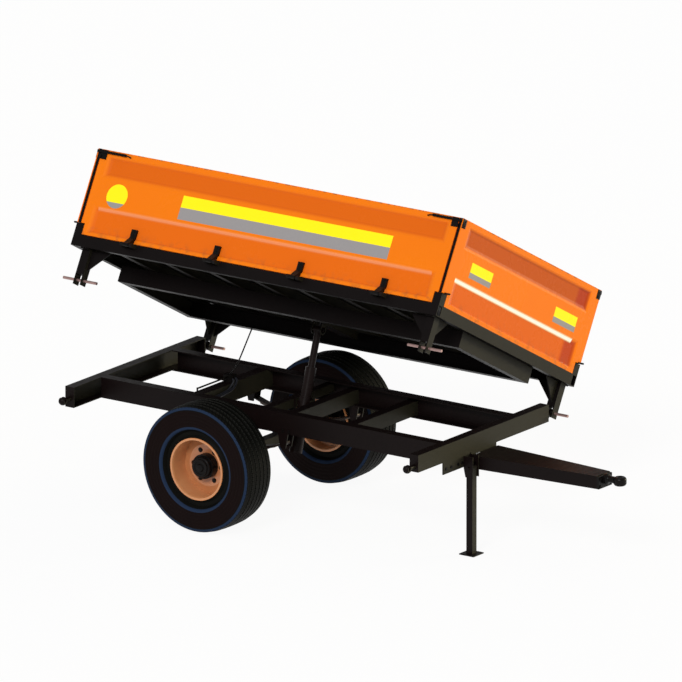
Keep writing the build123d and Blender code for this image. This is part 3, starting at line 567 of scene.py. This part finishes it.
def fastener_tree():
    """Tree that sets a hexagon head and its washer on each point, along its axis."""
    tree = bpy.data.node_groups.new("fasteners", "GeometryNodeTree")
    inputs = {
        name: tree.interface.new_socket(name, in_out="INPUT", socket_type="NodeSocket" + kind)
        for name, kind in (
            ("Points", "Geometry"), ("Radius", "Float"),
            ("Height", "Float"), ("Finish", "Material"),
        )
    }
    tree.interface.new_socket("Geometry", in_out="OUTPUT", socket_type="NodeSocketGeometry")
    plan = Plan(tree)
    points, radius, height, finish = [plan.node("NodeGroupInput", out=name) for name in inputs]
    head_sizes = {"Vertices": 6, "Radius": radius, "Depth": height}
    washer_sizes = {"Vertices": 20, "Radius": radius * 1.25, "Depth": height * 0.4}
    head = plan.node("GeometryNodeMeshCylinder", {}, head_sizes)
    washer = plan.node("GeometryNodeMeshCylinder", {}, washer_sizes)
    both = plan.node("GeometryNodeJoinGeometry", {}, (head,))
    tree.links.new(washer.socket, both.socket.node.inputs[0])
    axis = plan.node(
        "GeometryNodeInputNamedAttribute", {"data_type": "FLOAT_VECTOR"}, {"Name": "axis"},
        out="Attribute",
    )
    turned = plan.node("FunctionNodeAlignRotationToVector", {"axis": "Z"}, {"Vector": axis})
    scattered = plan.node(
        "GeometryNodeInstanceOnPoints", {}, {"Points": points, "Instance": both, "Rotation": turned}
    )
    solid = plan.node("GeometryNodeRealizeInstances", {}, (scattered,))
    dressed = plan.node("GeometryNodeSetMaterial", {}, {"Geometry": solid, "Material": finish})
    tree.links.new(dressed.socket, tree.nodes.new("NodeGroupOutput").inputs[0])
    return tree, inputs


fasteners, fastener_inputs = fastener_tree()


def fasten(name, places, radius, height, material, body):
    """Heads at places, each a point on the surface and the way its bolt points."""
    seeds = bpy.data.meshes.new(name + "_places")
    seeds.from_pydata([Vector(at) for at, _ in places], [], [])
    axis = seeds.attributes.new("axis", "FLOAT_VECTOR", "POINT")
    for index, (_, way) in enumerate(places):
        axis.data[index].vector = Vector(way).normalized()
    holder = bpy.data.objects.new(name + "_holder", seeds)
    bpy.context.collection.objects.link(holder)
    modifier = holder.modifiers.new("fasteners", "NODES")
    modifier.node_group = fasteners
    for key, value in (("Radius", radius), ("Height", height), ("Finish", material)):
        modifier[fastener_inputs[key].identifier] = value
    put_piece(name, made_mesh(name, holder), material, body)


def made_mesh(name, holder):
    """Plain mesh of what an object evaluates to; the object goes."""
    bpy.context.view_layer.update()
    made = holder.evaluated_get(bpy.context.evaluated_depsgraph_get())
    mesh = bpy.data.meshes.new_from_object(made)
    mesh.name = name
    bpy.data.objects.remove(holder)
    return mesh


nut_black = black_paint("nut_black", shade(9, 8, 8), shade(22, 19, 18), 0.32, 60.0)
for side, outward in (("right", -1), ("left", 1)):
    nuts = []
    for count in range(stud_count):
        angle = math.tau * count / stud_count
        place = (
            axle_x + stud_circle * math.cos(angle),
            outward * (wheel_middle - stud_in),
            axle_place.z + stud_circle * math.sin(angle),
        )
        nuts.append((place, (0, outward, 0)))
    fasten(f"wheel_nuts_{side}", nuts, 0.013, 0.016, nut_black, f"wheel_{side}")

# Hub caps: a pressed grease cap with a rolled rim in the end of each hub.
# It is turned from one profile and tapped into the hub.
hub_end = 0.078
cap_profile = (
    (-0.002, 0.058), (0.004, 0.060), (0.008, 0.058), (0.008, 0.046), (0.003, 0.042),
    (0.003, 0.030), (0.007, 0.028), (0.012, 0.024), (0.014, 0.014), (0.0145, 0.002),
)


def soften(mesh, crease=40):
    """Shade a mesh smooth but for edges that turn by more than crease degrees."""
    mesh.shade_smooth()
    mesh.set_sharp_from_angle(angle=math.radians(crease))
    return mesh


def closed_mesh(name, shape, crease=40):
    """Finished mesh of a bmesh, which is freed."""
    mesh = bpy.data.meshes.new(name)
    shape.to_mesh(mesh)
    shape.free()
    return soften(mesh, crease)


def lathe(name, profile, centre, way, steps=40):
    """Mesh turned about an axis from rows of reach along it and radius."""
    way = Vector(way).normalized()
    side_one = way.orthogonal().normalized()
    side_two = way.cross(side_one)
    shape = bmesh.new()
    rings = []
    for reach, size in profile:
        ring = []
        for step in range(steps):
            angle = math.tau * step / steps
            off = side_one * (size * math.cos(angle)) + side_two * (size * math.sin(angle))
            ring.append(shape.verts.new(Vector(centre) + way * reach + off))
        rings.append(ring)
    for low, high in zip(rings, rings[1:]):
        for step in range(steps):
            after = (step + 1) % steps
            shape.faces.new((low[step], low[after], high[after], high[step]))
    shape.faces.new(reversed(rings[0]))
    shape.faces.new(rings[-1])
    bmesh.ops.recalc_face_normals(shape, faces=shape.faces)
    return closed_mesh(name, shape, 35)


for side, outward in (("right", -1), ("left", 1)):
    centre = (axle_x, outward * (wheel_middle + hub_end), axle_place.z)
    cap = lathe(f"hub_cap_{side}", cap_profile, centre, (0, outward, 0))
    put_piece(f"hub_cap_{side}", cap, fitting_black, f"wheel_{side}")

# Spring clamps: two bolts bent to a U over each spring, drawn up under the axle.
# They are plain round bar, with a plate across their ends.
spring_y = 0.412
clamp_ahead = 0.050
clamp_reach = 0.037
clamp_radius = 0.006
clamp_nut_down = 0.052
plate_half = (0.065, 0.050)
plate_down = (0.046, 0.036)
clamp_arch = (
    # off the spring's middle, and above the axle
    (-clamp_reach, -0.060), (-clamp_reach, 0.080), (-0.035, 0.090), (0, 0.090),
    (0.035, 0.090), (clamp_reach, 0.080), (clamp_reach, -0.060),
)


def round_bar(name, path, radius, resolution=4):
    """Mesh of a bar bent along a smooth path."""
    curve = bpy.data.curves.new(name, "CURVE")
    curve.dimensions = "3D"
    curve.bevel_depth = radius
    curve.bevel_resolution = resolution
    curve.use_fill_caps = True
    line = curve.splines.new("NURBS")
    line.points.add(len(path) - 1)
    for point, place in zip(line.points, path):
        point.co = (*place, 1)
    line.order_u = 3
    line.use_endpoint_u = True
    line.resolution_u = 6
    holder = bpy.data.objects.new(name, curve)
    bpy.context.collection.objects.link(holder)
    return soften(made_mesh(name, holder))


def joined(name, meshes):
    """One mesh from several, with its doubles merged and its faces turned outwards."""
    shape = bmesh.new()
    for mesh in meshes:
        shape.from_mesh(mesh)
    bmesh.ops.remove_doubles(shape, verts=shape.verts, dist=1e-6)
    bmesh.ops.recalc_face_normals(shape, faces=shape.faces)
    return closed_mesh(name, shape)


def block(low, high, edge=0.002, turn_by=None):
    """Mesh of a plate between two corners, with its edges broken."""
    shape = bmesh.new()
    bmesh.ops.create_cube(shape, size=1.0)
    low, high = Vector(low), Vector(high)
    for vert in shape.verts:
        vert.co = Vector(((low + high)[i] / 2 + vert.co[i] * (high - low)[i] for i in range(3)))
    bmesh.ops.bevel(
        shape, geom=list(shape.edges), offset=edge, segments=2, affect="EDGES", profile=0.5
    )
    if turn_by:
        bmesh.ops.transform(shape, matrix=turn_by, verts=shape.verts)
    return closed_mesh("plate", shape)


clamps = []
clamp_nuts = []
for y in (-spring_y, spring_y):
    for x in (axle_x - clamp_ahead, axle_x + clamp_ahead):
        arch = [(x, y + off, axle_place.z + above) for off, above in clamp_arch]
        clamps.append(round_bar("clamp", arch, clamp_radius))
        for off in (-clamp_reach, clamp_reach):
            clamp_nuts.append(((x, y + off, axle_place.z - clamp_nut_down), (0, 0, -1)))
    half_x, half_y = plate_half
    bottom, top = [axle_place.z - down for down in plate_down]
    clamps.append(block((axle_x - half_x, y - half_y, bottom), (axle_x + half_x, y + half_y, top)))
put_piece("spring_clamps", joined("spring_clamps", clamps), spring_steel.material, "chassis")
fasten("clamp_nuts", clamp_nuts, 0.010, 0.010, nut_black, "chassis")

# Chassis bolts: hexagon heads on the stand's bracket, the drawbar's head plate
# and the hangers of the springs, where they are bolted through the rails.
bracket_face = -1.127
head_face = -0.117
rail_face = 0.4517
rail_bolt_z = 0.045
hanger_reach = 0.430
hanger_bolt_step = 0.05
bolts = [((bracket_face, y, 0.0), (1, 0, 0)) for y in (-0.440, -0.380, -0.300, -0.255, -0.140)]
bolts += [((head_face, y, z), (1, 0, 0)) for y in (-0.060, 0.060) for z in (-0.045, 0.008)]
for outward in (-1, 1):
    for hanger_x in (axle_x - hanger_reach, axle_x + hanger_reach):
        for x in (hanger_x, hanger_x + hanger_bolt_step):
            bolts.append(((x, outward * rail_face, rail_bolt_z), (0, outward, 0)))
fasten("chassis_bolts", bolts, 0.009, 0.008, nut_black, "chassis")

# Strap rivets: two heads hold each hinge strap to its panel's foot.
# They ride with the drop side or the tailgate that the strap carries.
side_strap_end = 0.480
side_strap_pitch = 0.696
tail_strap_end = 0.250
strap_out = 0.0095
rivet_heights = (side_foot + 0.058, side_foot + 0.084)


def on_box(x, y, z):
    """Place ahead of the axle, left of the far pins and above them, on the tipped box."""
    return box_pivot + Vector((x, 0, 0)) + box_left * y + box_up * z


drop_sides = (("right_side", near_skin, -1), ("left_side", far_skin, 1))
for body, skin, outward in drop_sides:
    rivets = []
    for step in range(4):
        x = rear_skin + side_strap_end + side_strap_pitch * step
        for z in rivet_heights:
            rivets.append((on_box(x, skin + outward * strap_out, z), box_left * outward))
    fasten(f"strap_rivets_{body}", rivets, 0.006, 0.004, nut_black, body)
rivets = []
for y in (near_skin + tail_strap_end, skin_middle, far_skin - tail_strap_end):
    for z in rivet_heights:
        rivets.append((on_box(rear_skin - strap_out, y, z), (-1, 0, 0)))
fasten("strap_rivets_tail", rivets, 0.006, 0.004, nut_black, "tail")

# Post pins: a short turned bar on each corner post sticks out past the box's end.
# It is steel in black paint, welded to the post, with a bevelled tip.
post_inset = 0.030
pin_in, pin_out = 0.022, 0.075
pin_height = 0.3825
pin_profile = ((0, 0.0065), (0.094, 0.0065), (0.097, 0.004))
post_pins = []
for x, forward in ((rear_skin + post_inset, -1), (front_skin - post_inset, 1)):
    for y in (near_skin + post_inset, far_skin - post_inset):
        start = on_box(x - forward * pin_in, y, pin_height)
        end = on_box(x + forward * pin_out, y, pin_height)
        post_pins.append(lathe("pin", pin_profile, start, end - start, 16))
put_piece("post_pins", joined("post_pins", post_pins), fitting_black, "box")

# Latch levers: a thin straight grip on the free end of each lever, and the bolt in the block
# at its other end. They are black steel and ride with the side that the latch closes.
latch_inset = 0.035
pivot_out = 0.0115
pivot_height = 0.856
grip_from = 0.205
grip_out = 0.011
grip_radius = 0.0045
grip_path = ((0, 0.889), (0.014, 0.889), (0.030, 0.886), (0.046, 0.880))
for body, skin, outward in drop_sides:
    pivots = []
    grips = []
    for end, forward in ((rear_skin + latch_inset, -1), (front_skin - latch_inset, 1)):
        pivot = on_box(end, skin + outward * pivot_out, pivot_height)
        pivots.append((pivot, box_left * outward))
        root = end - forward * grip_from
        grip = [
            on_box(root - forward * reach, skin + outward * grip_out, z) for reach, z in grip_path
        ]
        grips.append(round_bar("grip", grip, grip_radius))
    fasten(f"latch_pivots_{body}", pivots, 0.010, 0.007, nut_black, body)
    put_piece(f"latch_grips_{body}", joined(f"latch_grips_{body}", grips), fitting_black, body)

# Latch keepers: a small plate with two rivets on each top corner of the headboard
# and the tailgate. The lever's end hooks over its edge.
keeper_edges = (0.001, 0.043)
keeper_heights = (0.842, 0.904)
keeper_sunk, keeper_proud = 0.0005, 0.0045
keeper_rivet_out = 0.0055
keeper_rivet_in = 0.026
keeper_rivet_heights = (0.856, 0.888)


def tilted_block(*corners):
    """Plate between two corners, square to the tipped box."""
    level = Matrix.Rotation(tip, 4, "X")
    levelled = [level @ corner for corner in corners]
    low, high = [Vector(map(pick, *levelled)) for pick in (min, max)]
    return block(low, high, 0.001, level.inverted())


for body, x, forward in (("box", front_skin, 1), ("tail", rear_skin, -1)):
    plates = []
    rivets = []
    for skin, inward in ((near_skin, 1), (far_skin, -1)):
        outer, inner = [skin + inward * edge for edge in keeper_edges]
        foot, top = keeper_heights
        plates.append(tilted_block(
            on_box(x - forward * keeper_sunk, outer, foot),
            on_box(x + forward * keeper_proud, inner, top),
        ))
        for z in keeper_rivet_heights:
            place = on_box(x + forward * keeper_rivet_out, skin + inward * keeper_rivet_in, z)
            rivets.append((place, (forward, 0, 0)))
    put_piece(f"latch_keepers_{body}", joined(f"latch_keepers_{body}", plates), fitting_black, body)
    fasten(f"keeper_rivets_{body}", rivets, 0.005, 0.003, nut_black, body)

# Coupling collar: a turned collar on the shank behind the tow eye.
# It is black steel and bears on the drawbar's head plate.
shank_root = (-0.120, 0, 0)
collar_profile = (
    (0.000, 0.036), (0.010, 0.038), (0.022, 0.038), (0.026, 0.034), (0.030, 0.027), (0.036, 0.0245),
)
collar = lathe("eye_collar", collar_profile, shank_root, (1, 0, 0))
put_piece("eye_collar", collar, fitting_black, "chassis")

# Oil pipes: two black rubber hoses from the valve to the foot of the ram, tied along
# the rear crossmember, the inside of the near rail and the ram's cradle.
hose_radius = 0.008
hose_off = 0.010
rear_member_x = -3.186
near_rail_y = -0.425
cradle_x = -2.764
hose = Finish("hose_rubber", Roughness=0.5)
scuff = hose.noise(50.0, 4.0)
hose.put(
    Base_Color=hose.mix(scuff, shade(16, 15, 17), shade(34, 36, 44)),
    Roughness=scuff * 0.3 + 0.35,
    Normal=hose.bump(hose.noise(500.0, 2.0), 0.0004, 0.5),
)
hoses = []
for off in (-hose_off, hose_off):
    behind, beside = rear_member_x + off, cradle_x + off
    hoses.append(round_bar("hose", [
        (-3.214, off * 1.6, 0.186), (-3.194, off * 1.6, 0.184),
        (behind, -0.040 + off, 0.150), (behind, -0.100, 0.120), (behind, -0.400 + off, 0.110),
        (-3.150, near_rail_y, 0.105 + off), (-2.800, near_rail_y, 0.105 + off),
        (beside, -0.400 + off, 0.105), (beside, -0.120, 0.108), (beside, -0.075, 0.108),
    ], hose_radius))
put_piece("oil_hoses", joined("oil_hoses", hoses), hose.material, "chassis")

# Tip-limit cable: thin wire from the box's far sub-frame beam to the tipping valve.
# It shuts the valve off at full tip, so it ends on the box and on the chassis.
cable_radius = 0.005
cable_sag = Vector((0, -0.02, -0.06))
cable_top = on_box(-0.544, -0.400, 0.104)
cable_foot = Vector((-3.246, 0.0, 0.212))
low_point = cable_top.lerp(cable_foot, 0.55) + cable_sag
wire = Finish("cable_wire", Metallic=0.8, Roughness=0.4)
strand = wire.noise(700.0, 2.0, (1, 1, 0.2))
wire.put(
    Base_Color=wire.mix(strand, shade(22, 20, 20), shade(54, 50, 48)),
    Roughness=strand * 0.3 + 0.3,
    Normal=wire.bump(strand, 0.0004, 0.6),
)
cable_mesh = round_bar("limit_cable", [
    cable_top, cable_top.lerp(low_point, 0.35), low_point, low_point.lerp(cable_foot, 0.6),
    cable_foot,
], cable_radius, 3)
cable_mesh.materials.append(wire.material)
cable = bpy.data.objects.new("limit_cable", cable_mesh)
bpy.context.collection.objects.link(cable)
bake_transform(cable)

bpy.context.view_layer.update()
